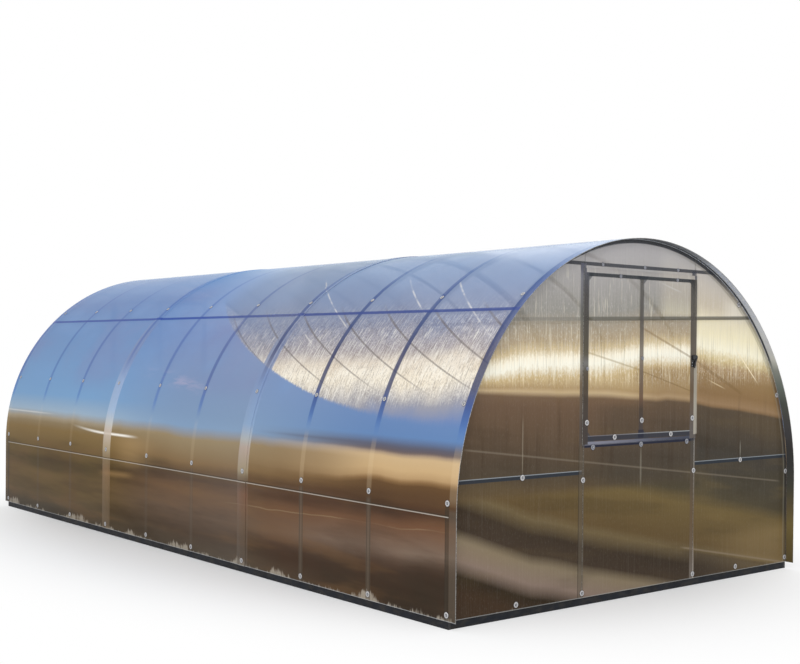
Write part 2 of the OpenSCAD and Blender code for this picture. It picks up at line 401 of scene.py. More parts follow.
def painted_roof_reflection(p, reach, flutes):
    """The painted reflection on the bent sheets: sky over brown ground, in bands that roll a little."""
    y, z = p.y, p.z
    wide = p.noise((0, 1.3, 0), detail=3)
    cloud = p.noise((1.5, 1, 1.8), detail=4, shift=21)
    smear = p.noise((1.5, 1.1, 9), detail=3, shift=61)
    brush = p.noise((4, 4, 26), detail=4, roughness=0.65, shift=15)
    height = z + z.step(1, 0.8) * (wide - 0.5) * 0.08 + (flutes - 0.5) * 0.004

    # the low bands rise towards the front corner
    slope = reach.least(2) * 0.035 * z.step(0.62, 0.52)
    slope = slope - (y.step(-1.95, -2.4) * 0.045 - 0.02) * z.step(0.62, 0.66) * z.step(0.88, 0.8)
    colour = y.step(1.6, -0.2).mix(height.ramp(ROOF_REAR), height.ramp(ROOF_MIDDLE))
    colour = y.step(-0.8, -2.5).mix(colour, (height + slope).ramp(ROOF_FRONT))

    ground = z.step(0.7, 0.6)
    sky = z.step(1.05, 1.25) * z.step(2, 1.8)
    smoke = z.near(0.913, 0.004, 0.017) * y.step(-1, -1.7) * y.step(-3.2, -2.2)
    path = (height + slope).near(0.497, 0.001, 0.006) * y.band(-2.9, -0.9, 0.2)
    spot = z.near(0.475 - (y - 0.8) * 0.03, 0.016, 0.022) * y.band(0.6, 1.05, 0.12)
    wisp = z.near((y + 0.2) * 0.1 + 1.17, 0.02, 0.06) * y.band(-0.25, 0.55, 0.25)
    return layered(colour, (
        (y.band(-2.1, -1.15, 0.35) * z.band(0.68, 0.85, 0.03), "6a5238", 0.42),
        (y.band(0.4, 0.8, 0.3) * z.band(0.56, 0.76, 0.05), "c2a070", 0.35),
        (y.step(0.2, 1.4) * z.step(0.8, 0.74) * z.step(0.05, 0.3), "7c5f10", 0.26),
        (y.step(0.8, 1.6) * z.band(0.4, 0.5, 0.03), "372f1c", 0.4),
        (y.step(0.4, 1.6) * z.step(1.86, 2.04), "3f78b8", 0.45),
        (y.step(0.4, -0.8) * z.step(1.9, 2.06), "3f78b8", 0.2),
        (y.band(-1.75, -1, 0.3) * z.band(0.13, 0.26, 0.04), "30251b", 0.35),
        (smoke, "5c5c6c", 0.65),
        (smear.step(0.48, 0.7) * ground, "80603f", 0.28),
        (smear.step(0.52, 0.3) * ground, "2e2218", 0.3),
        (cloud.step(0.45, 0.65) * ground, "5f3b28", 0.18),
        (path * smear.step(0.35, 0.55), "b39c78", 0.45),
        (spot, "9a7a50", 0.6),
        (cloud.step(0.45, 0.65) * sky, "8286b1", 0.35),
        (cloud.step(0.5, 0.3) * sky, "78a2d4", 0.25),
        (wisp * brush.step(0.45, 0.65), "b9aec6", 0.6)))


def roof_glow(p, reach, flutes):
    """Where the painted bright reflection at the front lies, over an edge that climbs to the rear, and
    its colour.
    """
    y, z = p.y, p.z
    edge = reach * reach * 0.0745 + 1.02
    soft = (reach * -0.05 + 0.07).most(0)
    over = (z - edge + (flutes - 0.5) * 0.03 + 0.006) / (soft + 0.014)
    inside = over.step(0, 1) * y.step(0.36, -0.1)
    broad = p.noise((2.6, 3.4, 3.4), detail=3, shift=71)
    grain = p.noise((110, 110, 70), detail=3, roughness=0.7, shift=31)
    lines = p.noise((14, 150, 14), shift=37)
    strokes = p.noise((9, 75, 9), detail=1, shift=87)
    streaky = p.noise((8, 8, 8), shift=97)
    texture = z.step(1.8, 1.45) * (z + reach * 0.06).step(1.12, 1.26)

    # painted images of the far hoops, seen through the sheet, are slanting lines that repeat along Y
    lift = z - 1.4
    images = (y - lift * 2.66 + lift * lift * 1.34).repeat(-2.98, 0.445)
    # grain and strokes of the painted bright reflection, the painted images of the far hoops, then
    # painted glints
    layers = [
        (broad.step(0.45, 0.75) * z.band(1.26, 1.42, 0.08), "cdb48a", 0.45),
        (lines.step(0.5, 0.68) * texture, "fffaf0", 0.5),
        (lines.step(0.49, 0.3) * texture, "857a74", 0.5),
        (grain.step(0.5, 0.68) * texture, "fffaf0", 0.4),
        (grain.step(0.49, 0.32) * texture, "7d746f", 0.4),
        (strokes.step(0.66, 0.74) * z.step(1.2, 1.3) * z.step(1.62, 1.5), "fffaf0", 0.6),
        (images.step(0.019, 0.006) * z.band(1.24, 1.66, 0.08), "6f6662", 0.6)]
    for first, slant, low_z, high_z in GLINTS:
        line = (y - first - (z - low_z) * slant).near(0, 0.007, 0.009)
        there = line * z.step(low_z, low_z + 0.03) * z.step(high_z + 0.05, high_z)
        layers.append((there, "fffaf2", streaky.step(0.4, 0.6) * 0.45 + 0.12))
    height = z + reach * 0.03 + (broad - 0.5) * 0.18 + (grain - 0.5) * 0.04 - 0.02
    return inside, layered(height.ramp(GLOW, 1), layers)


def roof_frame(p, lap):
    """Layers that paint the hoops and purlins behind the bent sheets, tinted by the painted reflection,
    with painted light on the low hoops and a painted highlight on the lower purlin.
    """
    y, z = p.y, p.z
    near = y.step(0.3, -1.3)
    away = y.repeat(HOOP_Y[0], BAY)
    low = z.step(0.63, 0.6)
    plain = 1 - lap * z.step(1.5, 1.15)
    past = abs(y) - END_Y
    end, between, inboard = past.step(0.001, 0.008), past.step(-0.05, -0.06), past.step(0.002, -0.004)
    hoop = near.mix(away.step(0.034, 0.006) * 0.42, away.step(0.027, 0.014) * 0.92)
    hoop = (hoop * between).most(end * (near * 0.5 + 0.42)) * plain
    outline = away.near(0.015, 0.003, 0.003) * plain * low * (near * 0.6 + 0.2)
    corner = past.band(-0.026, 0.004) * z.step(0.66, 0.62)
    turn = (z - LEG_H).calc("ARCTAN2", abs(p.x))
    blue = near.mix(z.ramp(HOOP_FAR, 1), z.ramp(HOOP, 1))
    return (
        (hoop * z.step(0.94, 1.06), blue, z.step(2.1, 1.85) * 0.4 + 0.6),
        # painted light on the hoops low on the walls
        (hoop * z.step(0.96, 0.9) * z.step(0.62, 0.68), "e2cba6", 0.14),
        (hoop * low, "645a4e", 0.55),
        (outline * inboard, "2b251f", 0.6),
        (corner, "3e372e", 0.65),
        (((turn - HIGH_PURLIN) * ARCH_R).near(0, 0.0125, 0.004), near.mix("34509c", "3c4f92"), 0.92),
        (z.near(LOW_PURLIN_Z + 0.0165, 0.0025) * inboard, "3b342b", 0.75),
        # a painted highlight along the top of the lower purlin
        (z.near(LOW_PURLIN_Z + 0.0085, 0.0025) * inboard, "c0bab0", 0.75))


def roof_paint():
    """The bent sheets' outer face, with its painted reflection, painted glints and the painted tubes
    behind.
    """
    p = Paint("roof_sheet_outer")
    y, z = p.y, p.z
    flutes = p.noise((3, 170, 3), shift=5)
    reach = y + END_Y
    inside, glow = roof_glow(p, reach, flutes)

    # a glint along a crease near the rear, and one above the horizon at the end
    crease = (y - 1).most(0).squared() * 0.085 + 0.772
    glint = z.near(crease, 0.007, 0.009) * y.step(0.45, 0.75) * y.step(1.7, 1.1)
    glint = glint.most(z.near(0.872, 0.002, 0.01) * y.step(1.9, 2.5) * 0.55)

    # dirt splashed up from the ground
    splash = p.noise((40, 40, 9), detail=5, roughness=0.7, shift=41)
    rise = p.noise((0, 2.3, 0), shift=3).step(0.44, 0.64) * 0.05 - 0.008
    dirt = (z - FOOT_Z - rise - (splash - 0.5) * 0.13).step(0.012, -0.012)

    # the milky laps, which show the painted reflection and a painted highlight, and the cut edges, which
    # catch the light
    lap = abs(y).near(abs(LAP_HOOPS[0]), 0.064, 0.005)
    rim = abs(y).step(SHEET_END - 0.003, SHEET_END - 0.0015) * 0.6
    colour = layered(painted_roof_reflection(p, reach, flutes), (
        (inside, glow, reach.step(3.4, 1.6) * 0.55 + 0.45),
        (glint, "fffaf0", 1),
        (dirt * splash.step(0.3, 0.55), "aea495", 0.72),
        (lap * z.step(1.75, 1.4), z.ramp(LAP, 0, 1.7), z.step(0.6, 0.66) * 0.3 + 0.5),
        (lap * y.step(0.5, 0.9) * z.step(1.4, 1.15), z.ramp(LAP_HIGHLIGHT, 0, 1.4), 0.28),
        *roof_frame(p, lap),
        (z.step(FOOT_Z + 0.005, FOOT_Z + 0.003).most(rim), "b4b7ba", 0.55)))
    cover = z.step(1, 0.85) * 0.06 + 0.92 - inside * z.step(1.15, 1.5) * 0.17
    p.set(Base_Color=colour, Alpha=cover, Roughness=0.2, IOR=SHEET_IOR)
    p.bump(flutes, 0.1, 0.0008)
    return p.material


# ---- the gables' outer face ----

# painted reflection and painted light through the gables: colours by height, in metres
GABLE_LEFT = {0.62: "604f37", 0.75: "4d4337", 1.12: "685341", 1.178: "725b45", 1.208: "c4ab84",
              1.232: "b0956b", 1.29: "d0b787", 1.36: "fffbe9", 1.4: "fff6df", 1.44: "d3be94",
              1.49: "b09c7c", 1.65: "969289", 2.1: "c4bfc0"}
GABLE_RIGHT = {0.62: "4b4438", 0.9: "433e37", 1.178: "56493a", 1.194: "896d4e", 1.21: "957959",
               1.27: "8b6e4a", 1.37: "987b52", 1.44: "b0936a", 1.49: "dcc896", 1.55: "fff8dd",
               1.64: "f6ebc6", 1.73: "efe3c2", 1.81: "d3c5ad", 2.1: "c8c3c2"}
GABLE_LOW = {0.12: "403022", 0.205: "32281c", 0.285: "857367", 0.39: "83755f", 0.45: "42362b",
             0.552: "3d3227", 0.64: "6c5d42", 0.69: "614f33", 0.92: "6d5c3a", 1.0: "4e4635",
             1.1: "484236"}
# the same for the window's stiles and the posts as they look through the sheets, with painted light,
# painted shade and the painted reflection over them
STILE_LEFT = {1.0: "46403d", 1.32: "4e463c", 1.37: "6b6a69", 1.42: "504c42", 1.75: "524f4d",
              1.87: "5b5c63"}
STILE_MIDDLE = {0.96: "4a4546", 1.1: "4a4139", 1.16: "675142", 1.42: "7a7066", 1.62: "5f5a55",
                1.87: "64625e"}
STILE_RIGHT = {0.96: "625c58", 1.2: "675645", 1.32: "6c6155", 1.43: "584f47", 1.76: "5c5853",
               1.87: "403e3d"}
POST_LEFT = {1.0: "534b46", 1.26: "6a5e50", 1.36: "807c79", 1.44: "7e7565", 1.65: "6b6b65",
             1.87: "83838c"}
POST_RIGHT_LOW = {0.08: "b2a89e", 0.3: "6f604d", 0.42: "6c5b45", 0.86: "8a8680"}
POST_SIDE_LOW = {0.08: "80776f", 0.2: "6c6156", 0.4: "665443", 0.86: "504d48"}

# a painted reflection of a pale path across the lower right: its height at the middle and its slope
PATH = (0.317, -0.186)
# painted images of the far frame, painted glints and the painted path: thin slanting lines; height at x =
# 0, slope, first and last x, colour, share and half width
IMAGES = (
    (1.635, 0.026, -1.1, -0.5, "6f6d64", 0.5, 0.01),
    (1.635, 0.026, -0.5, 1.14, "5c594d", 0.85, 0.0115),
    (0.755, -0.118, -1.4, 1.4, "84796a", 0.42, 0.005),
    (1.578, -0.372, -0.02, 0.55, "84683c", 0.5, 0.007),
    (1.607, -0.437, 0.55, 0.98, "7d6038", 0.42, 0.011),
    (1.327, -0.221, -0.48, -0.02, "a08a5a", 0.5, 0.005),
    (1.323, -0.267, -0.01, 0.47, "7d6238", 0.5, 0.004),
    (2.299, -0.912, 0.93, 1.14, "fff0cc", 0.85, 0.005),
    (*PATH, 0.4, 1.45, "8f806c", 0.55, 0.005),
    (1.481, -0.335, 0.66, 0.79, "f0dcb4", 0.6, 0.003),
    (1.895, -0.26, 0.18, 0.34, "e4dfdc", 0.3, 0.004))


def painted_gable_light(p, x, streak, grain, bright):
    """The painted reflection and painted light through a gable: grey, a bright golden band, and brown
    ground in sloping bands.
    """
    z = p.z
    wide = (p.noise((1.2, 0, 0), shift=17) - 0.5) * 0.03
    smear = p.noise((1.2, 0, 7), detail=3, shift=63, place=(x, p.y, z + x * 0.1))
    veil = p.noise((15, 0, 0.9), detail=3, roughness=0.6, shift=77)

    # the bands drop towards the right, but the golden one's upper edge climbs
    drop = (x + 1).most(0).squared() * 0.031 + (x + 0.7).least(0) * 0.05
    drop = drop - x.step(0.12, 0.25) * x.step(0.7, 0.4) * 0.018
    climb = x.step(-0.45, 0.15) * 0.062 - x.step(-0.95, -1.25) * 0.045
    height = z + ((streak - 0.5) * 0.08 + (grain - 0.5) * 0.1) * bright + wide
    left = (height + drop - (climb + drop) * z.step(1.2, 1.34)).ramp(GABLE_LEFT, 0.6)
    golden = x.step(-0.2, 0.2) * z.step(1.38, 1.32) * 0.6
    dim = x.step(-0.5, -0.2) * z.step(1.16, 1.1) * 0.5
    upper = x.step(0.1, 0.25) * z.step(1.62, 1.68) * 0.45
    share = x.step(0.42, 0.56).most(golden).most(dim).most(upper)
    colour = share.mix(left, (height + drop).ramp(GABLE_RIGHT, 0.6))

    fall = (x + 1.5) * 0.2 + (x + 0.9).least(0) * 0.15 + x.step(-0.8, -0.4) * 0.022
    dark = z.step(1.12, 1)
    path = z - x * PATH[1] - PATH[0]
    return layered(colour, (
        # a painted bright glare high on the right
        (x.step(0.72, 0.92) * z.band(1.64, 1.76, 0.04), "f6eedc", 0.7),
        (z.step(0.69, 0.62), (z + fall + wide).ramp(GABLE_LOW, 0, 1.8), 1),
        (smear.step(0.5, 0.72) * dark, "836e45", x.step(0.2, 1) * z.step(0.78, 0.62) * 0.25 + 0.1),
        (smear.step(0.5, 0.3) * dark, "2b2318", 0.22),
        (x.step(0.5, 1.2) * z.step(0.36, 0.22), "927c55", 0.4),
        (path.step(0, -0.03) * x.step(0.3, 0.55), "43382d", 0.55),
        (veil.step(0.5, 0.68) * z.band(0.72, 1.12, 0.12), "38291d", 0.32)))


def gable_paint(name, bars):
    """A gable sheet's outer face, with painted reflection and painted highlights. bars gives the layers
    of the tubes behind it.
    """
    p = Paint(name)
    # x as seen from outside either gable
    x, z = p.x * p.y.calc("SIGN") * -1, p.z
    flutes = p.noise((190, 0, 2.5), shift=5)
    streak = p.noise((60, 0, 5), detail=3, shift=11)
    grain = p.noise((120, 0, 45), detail=3, roughness=0.7, shift=33)
    splash = p.noise((30, 0, 9), detail=5, roughness=0.65, shift=41)
    bright = z.step(1.2, 1.3)
    shine = bright * z.step(1.9, 1.5) * 0.34 + 0.02
    colour = layered(painted_gable_light(p, x, streak, grain, bright), (
        # painted highlights and painted shade along the flutes, strongest in the golden band
        (flutes.step(0.52, 0.75), "fffbee", shine),
        (flutes.step(0.48, 0.25), "55482c", shine + 0.05),
        (grain.step(0.52, 0.7), "fffbee", shine),
        (streak.step(0.56, 0.7) * bright * z.step(2, 1.8), "fff4d8", 0.3)))
    # the painted images, glints and path of IMAGES
    for height, slope, first, last, code, share, half in IMAGES:
        line = (z - x * slope).near(height, half, 0.004) * x.band(first, last, 0.04)
        colour = (line * share).mix(colour, code)
    colour = layered(colour, (
        ((z - FOOT_Z + 0.01 - (splash - 0.5) * 0.13).step(0.012, -0.012), "a39888", 0.4),
        *bars(x, z),
        (z.step(FOOT_Z + 0.006, FOOT_Z + 0.004), "a2a6a6", 0.5)))
    cover = z.step(1.25, 1.1) * 0.1 + 0.88 - z.step(1.5, 1.7) * 0.14
    p.set(Base_Color=colour, Alpha=cover, Roughness=0.2, IOR=SHEET_IOR)
    p.bump(flutes, 0.1, 0.0008)
    return p.material


def sill_colour(x, z):
    """The sill rail: navy, with a painted highlight along its upper edge that fades to the right."""
    edge = x.step(-0.5, 0.45).mix("8b8c9a", "4a4f5e")
    return (z.step(SILL_Z - 0.002, SILL_Z + 0.004) * 0.85).mix("262a3a", edge)


def gable_bars(x, z):
    """Layers that paint what stands behind the gable's fixed sheets, with painted light and shade on the
    tubes, painted highlights and a strip of painted reflection.
    """
    radius = ((z - LEG_H).most(0).squared() + x * x).calc("SQRT")
    low = z.step(SILL_Z + 0.02, SILL_Z - 0.02)
    high = (1 - low) * z.step(TIE_Z + 0.002, TIE_Z - 0.002)
    outer = abs(x).step(POST_X + HALF - 0.001, POST_X + HALF + 0.001)
    left_post = x.band(-POST_X - HALF - 0.024, -POST_X + HALF)
    right_post = x.band(POST_X - 0.002, POST_X + HALF)
    right_side = x.band(POST_X - HALF - 0.022, POST_X - 0.002)
    return (
        (z.near(TIE_Z, 0.0105), "42454c", 0.9),
        (z.near(MID_Z, 0.01) * outer, "2f353d", 0.9),
        # a painted highlight along the top of the mid rails
        (z.near(MID_Z + 0.011, 0.002) * outer, "b4bec6", 0.55),
        (z.near(SILL_Z, 0.012) * (1 - outer), sill_colour(x, z), 0.94),
        (left_post * high, z.ramp(POST_LEFT, 0.9, 2), 0.92),
        (right_post.most(right_side) * high * z.step(1.88, 1.9), "454854", 0.85),
        (left_post * high * z.step(1.86, 1.91), "5a5b6a", 0.7),
        # a painted highlight along the pane's right edge, and under it a strip of painted reflection
        (x.band(PANE_HI.x - 0.004, PANE_HI.x + 0.01) * z.band(1.36, 1.86, 0.02), "8f887e", 0.55),
        (x.band(PANE_HI.x, PANE_HI.x + 0.016) * z.band(0.936, 1.36), "a8a295", 0.75),
        (left_post * low, "5f574c", 0.5),
        (right_post * low, z.ramp(POST_RIGHT_LOW, 0, 1), 0.85),
        (right_side * low, z.ramp(POST_SIDE_LOW, 0, 1), 0.7),
        (x.band(-POST_X - HALF - 0.028, -POST_X - HALF - 0.022, 0.002) * low, "332d25", 0.6),
        (radius.band(ARCH_R - 0.024, ARCH_R + 0.1), "383c42", z.step(1.75, 1.95) * 0.5 + 0.4),
        # painted light on the inner side of the arch, on the right
        (radius.band(ARCH_R - 0.04, ARCH_R - 0.026) * x.step(0.1, 0.5), "8d897c", 0.35),
        # painted glints: thin light vertical lines near three washers
        (x.near(-0.98, 0.003, 0.003) * z.band(0.78, 1.06, 0.05), "a59b88", 0.4),
        (x.near(0.98, 0.004, 0.003) * z.band(0.78, 0.86, 0.03), "a8a496", 0.45),
        (x.near(0, 0.007, 0.004) * z.band(0.66, 0.86, 0.05), "a09a8a", 0.3))


def window_bars(x, z):
    """Layers that paint what stands behind the window's sheet, with painted highlights and a strip of
    painted reflection.
    """
    edge = SASH_HI.x
    # the colour of a painted highlight along the top of the sash's bottom rail, dimmer on the left
    rim = x.step(-0.4, 0.4).mix("77767c", "aab0b4")
    inner = abs(x).step(edge + 0.002, edge - 0.002)
    sash = z.step(SASH_HI.z + 0.001, SASH_HI.z - 0.001)
    # how far a place is from the middle of its pane, across and up
    pane_w, pane_h = (edge - TUBE - HALF) / 2, (SASH_HI.z - SASH_LO.z) / 2 - TUBE
    corner = abs(abs(x) - HALF - pane_w) + abs(z - middle("front_window_frame").z)
    # a strip of painted reflection along the pane's right edge
    painted_reflection_strip = x.step(edge + 0.001, edge + 0.003) * z.step(1.36, 1.34) * z.step(0.932, 0.936)
    return (
        (corner.step(pane_w + pane_h - 0.028, pane_w + pane_h - 0.022) * inner * sash, "45464a", 0.8),
        (x.band(-0.026, HALF) * sash, z.ramp(STILE_MIDDLE, 0.9, 2), 0.92),
        (z.step(SILL_Z + 0.024, SILL_Z + 0.018) * inner, sill_colour(x, z), 0.9),
        (z.near(SASH_LO.z + HALF - 0.002, 0.014) * inner, "3a3c44", 0.9),
        (x.band(-0.032, 0.018) * z.band(SASH_LO.z - 0.004, SASH_LO.z + 0.045), "2a2c3a", 0.7),
        (z.near(SASH_LO.z + TUBE + 0.003, 0.0022) * inner, rim, 0.75),
        (z.near(SASH_HI.z - HALF, 0.0105) * inner, "33383d", 0.92),
        (x.step(-edge + 0.021, -edge + 0.017) * sash, z.ramp(STILE_LEFT, 0.9, 2), 0.95),
        (x.step(edge - 0.038, edge - 0.032) * sash, z.ramp(STILE_RIGHT, 0.9, 2), 0.95),
        (abs(x).step(edge, edge + 0.004) * (1 - sash), "4e505c", 0.85),
        (painted_reflection_strip, "a8a295", 0.9))


# ---- the sheets' inner face and edges ----

# painted shade and painted light on the overhang's underside, by height
SHADE = {0.05: "5f5236", 0.3: "7b6c45", 0.42: "655a42", 0.55: "4d4c43", 0.68: "434342", 0.8: "424141",
         0.9: "4c4b4d", 1.0: "51504d", 1.1: "575b55", 1.2: "6f7872", 1.32: "8f948e", 1.42: "d6d6d2",
         1.55: "eceeee", 1.8: "d8dcdf", 1.94: "c0c4c8", 2.02: "8c8f93", 2.1: "5c5e62"}


def clear_paint():
    """A sheet's inner face: almost clear, with painted shade and painted light under the overhang."""
    p = Paint("sheet_inner")
    y, z = p.y, p.z
    haze = p.noise((20, 20, 20), detail=3)
    past = abs(y) - END_Y
    rim = past.step(0.006, 0.008)
    tube = rim * past.step(0.026, 0.018) * z.step(1.3, 1.42)
    shade = tube.mix(z.ramp(SHADE), "33363a")
    thin = z.band(1.42, 1.98, 0.05) * (1 - tube) * 0.45
    p.set(Base_Color=rim.mix(haze.mix("9aa0a8", "b8b4aa"), shade), Roughness=0.25, IOR=SHEET_IOR,
          Alpha=haze * 0.05 + 0.05 + rim * (0.85 - thin))
    return p.material


def edge_paint():
    """A sheet's cut edge: milky, with the ends of its webs; away from the sheet's ends it takes the laps'
    painted reflection.
    """
    p = Paint("sheet_edge")
    webs = p.noise((130, 130, 130), detail=1).step(0.4, 0.6)
    inside = abs(p.y).step(END_Y - 0.02, END_Y - 0.04)
    p.set(Base_Color=inside.mix(webs.mix("5e5c58", "8f8d88"), p.z.ramp(LAP, 0, 1.7)), Roughness=0.5)
    return p.material


FRAME = steel("frame_steel", "5d6067", "44474d", "8a7e6e", 0.34)
RAIL = steel("base_steel", "191d25", "111319", "38342e", 0.45, 0, 0.2)
ZINC = mottled("zinc_bolt", "8d9096", "b9bcc2", 0.28, 0.8, 400)
# the last colour is the washers' painted shade
CAP = mottled("washer_cap", "a3a1a2", "c6c4c4", 0.35, 0, 300, "5b6173")
RUBBER = mottled("black_plastic", "0f1012", "1d1e21", 0.4, 0, 200)
# a sheet's materials: outer face, inner face and edges
ROOF = [roof_paint(), clear_paint(), edge_paint()]
GABLE = [gable_paint("gable_sheet_outer", gable_bars)] + ROOF[1:]
PANE = [gable_paint("window_sheet_outer", window_bars)] + ROOF[1:]
HARDWARE = [FRAME, ZINC]
SCREW = [CAP, RUBBER, ZINC]


# ---- base frame, hoops and purlins ----

SIDES = ((-1, "left"), (1, "right"))


def tube_piece(node, bm, turn=None):
    """The tubes of one node of the frame, in place of its CAD solids."""
    piece(node + "_tube", bm, [FRAME], [node], turn)


def base_rail(node, axis):
    """A hollow bar along one axis that fills its node's box."""
    lo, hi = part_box(node)
    size = hi - lo
    start, end = middle(node), middle(node)
    start[axis], end[axis] = lo[axis], hi[axis]
    bm = bmesh.new()
    bar(bm, start, end, (0, 0, 1), size.z, size[1 - axis])
    piece(node + "_tube", bm, [RAIL], [node])


def hoop(node, y):
    """One bent tube from foot to foot."""
    bm = bmesh.new()
    loops = [[(y + a, ARCH_R - HALF + b) for a, b in loop] for loop in tube_loops()]
    sweep(bm, loops, arch_rings(RAIL_H))
    tube_piece(node, bm)


def purlin(node, centre, outward):
    """A row of straight tubes between the hoops."""
    bm = bmesh.new()
    for y0, y1 in zip(HOOP_Y, HOOP_Y[1:]):
        start, end = centre.copy(), centre.copy()
        start.y, end.y = y0 + HALF, y1 - HALF
        bar(bm, start, end, outward)
    tube_piece(node, bm)


for name, axis in (("left", 1), ("right", 1), ("front", 0), ("rear", 0)):
    base_rail(f"base_rail_{name}", axis)

for name, y in zip(HOOPS, HOOP_Y):
    hoop(name, y)

for side, side_name in SIDES:
    level = Vector((side, 0, 0))
    purlin(f"purlin_{side_name}_lower", level * (ARCH_R - HALF) + Vector((0, 0, LOW_PURLIN_Z)), level)
    slant = Vector((side * math.cos(HIGH_PURLIN), 0, math.sin(HIGH_PURLIN)))
    reach = math.sqrt(ARCH_R ** 2 - (HALF) ** 2) - HALF
    purlin(f"purlin_{side_name}_upper", slant * reach + Vector((0, 0, LEG_H)), slant)


# ---- bent sheets ----

INNER_R = ARCH_R + SEAT
OUTER_R = INNER_R + SHEET
CUT = 0.0005


def bent_sheet(node, outer, inner):
    """A sheet over the hoops, from the (y, radius) points of its outer and its inner face."""
    points = outer + inner
    paint = [0 if 0 < i < len(outer) else 1 if i > len(outer) else 2 for i in range(len(points))]
    bm = bmesh.new()
    sweep(bm, [points], arch_rings(FOOT_Z), paint=paint)
    piece(node + "_skin", bm, ROOF, [node])


def end_sheet(node):
    y0, y1 = (corner.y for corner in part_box(node))
    bent_sheet(node, [(y0, OUTER_R - CUT), (y0 + CUT, OUTER_R), (y1 - CUT, OUTER_R), (y1, OUTER_R - CUT)],
               [(y1, INNER_R + CUT), (y1 - CUT, INNER_R), (y0 + CUT, INNER_R), (y0, INNER_R + CUT)])


def middle_sheet(node):
    """The middle sheet steps out by its own thickness over the end sheets."""
    out = SHEET + SEAT
    edge, end_edge = abs(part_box(node)[0].y), abs(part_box("roof_sheet_front")[1].y)

    def half_face(radius, cut, backs):
        """From the sheet's edge to the foot of the step."""
        step = [(end_edge - back, radius + out * share) for back, share in zip(backs, (1, 0.85, 0.15, 0))]
        return [(edge, radius + out - cut), (edge - CUT, radius + out)] + step

    half_outer = half_face(OUTER_R, CUT, (0.0045, 0.006, 0.0075, 0.009))
    half_inner = half_face(INNER_R, -CUT, (0.0015, 0.0025, 0.004, 0.0055))
    bent_sheet(node, [(-y, r) for y, r in half_outer] + half_outer[::-1],
               half_inner + [(-y, r) for y, r in half_inner[::-1]])


end_sheet("roof_sheet_front")
middle_sheet("roof_sheet_middle")
end_sheet("roof_sheet_rear")


# ---- gables ----

FRAME_Y = -END_Y + HALF
GABLE_SCREWS = [(-0.5, 0.07), (0.5, 0.07), (-0.5, 0.71), (0.5, 0.71), (-1.02, 0.07), (0.94, 0.07),
                (-0.98, 0.752), (0.98, 0.752), (-0.42, 0.893), (0.0, 0.893), (0.43, 0.893),
                (-0.35, 1.936), (0.02, 1.936), (0.33, 1.936)]
PANE_SCREWS = [(-0.477, 1.034), (0.0, 1.034), (0.477, 1.034), (-0.24, 0.944), (0.27, 0.944),
               (-0.2, 1.875), (0.32, 1.875), (0.0, 1.4), (-0.477, 1.34)]
SIDE_HEIGHTS = (0.075, 0.65, 1.16, 1.745)


def gable_place(y_outer):
    """Puts a plate's (x, z, depth) in space."""
    return lambda u, v, w: Vector((u, y_outer + w, v))


def arch_limit(z, radius):
    """How far the arch of that radius reaches along X at the height z."""
    return math.sqrt(radius ** 2 - max(z - LEG_H, 0) ** 2)


def coped_bar(bm, x0, x1, z):
    """A bar along X whose far ends follow the inside of the end hoop."""
    start = len(bm.verts)
    bar(bm, (x0, FRAME_Y, z), (x1, FRAME_Y, z), (0, 1, 0))
    bm.verts.ensure_lookup_table()
    for vert in bm.verts[start:]:
        limit = arch_limit(vert.co.z, ARCH_R - TUBE - SEAT)
        vert.co.x = max(-limit, min(limit, vert.co.x))


def arch_outline(x0, x1, z0, radius):
    """The part of the gable between two upright lines and over z0, counter-clockwise."""
    top = []
    first, last = (math.acos(max(-1, min(1, x / radius))) for x in (x1, x0))
    steps = max(6, int((last - first) / math.radians(1.875)))
    for step in range(steps + 1):
        turn = first + (last - first) * step / steps
        top.append((radius * math.cos(turn), LEG_H + radius * math.sin(turn)))
    return [(x0, z0), (x1, z0)] + top


def rectangle(x0, x1, z0, z1):
    return [(x0, z0), (x1, z0), (x1, z1), (x0, z1)]


def gusset(bm, x, z, side_x, side_z, leg=0.022, y=FRAME_Y, thick=0.002):
    """A triangular plate in the corner of two tubes."""
    outline = [(x, z), (x + side_x * leg, z), (x, z + side_z * leg)]
    if side_x * side_z < 0:
        outline.reverse()
    plate(bm, outline, gable_place(y - thick / 2), thick, 0.0003)


def facing(at, outward):
    """Moves the origin to a place and turns +Z outward."""
    return Matrix.Translation(Vector(at)) @ Vector(outward).to_track_quat("Z", "Y").to_matrix().to_4x4()


def bolt(bm, at, outward):
    """A hexagonal bolt head with its washer."""
    radius, washer = 0.0038, 0.0009
    matrix = facing(at, outward)
    lathe(bm, [(radius * 1.7, 0), (radius * 1.7, washer)], matrix, 16, 1)
    lathe(bm, [(radius, washer), (radius, 0.0035), (radius * 0.8, 0.0042)], matrix, 6, 1)


def cap_screw(bm, at, outward, spread, scale=1.0):
    """A screw through a domed cap washer on its dark seal."""
    matrix = facing(at, outward) @ Matrix.Diagonal((spread, spread, scale, 1))
    lathe(bm, [(0.0145, 0), (0.0145, 0.0008)], matrix, 24, 1)
    lathe(bm, [(0.0128, 0.0008), (0.0126, 0.0018), (0.0112, 0.003), (0.0088, 0.0036), (0.0074, 0.0034),
               (0.0068, 0.0022)], matrix, 24, 0)
    lathe(bm, [(0.006, 0.0022), (0.006, 0.0026)], matrix, 16, 1)
    lathe(bm, [(0.0042, 0.0026), (0.0042, 0.004), (0.0034, 0.0044)], matrix, 6, 2)


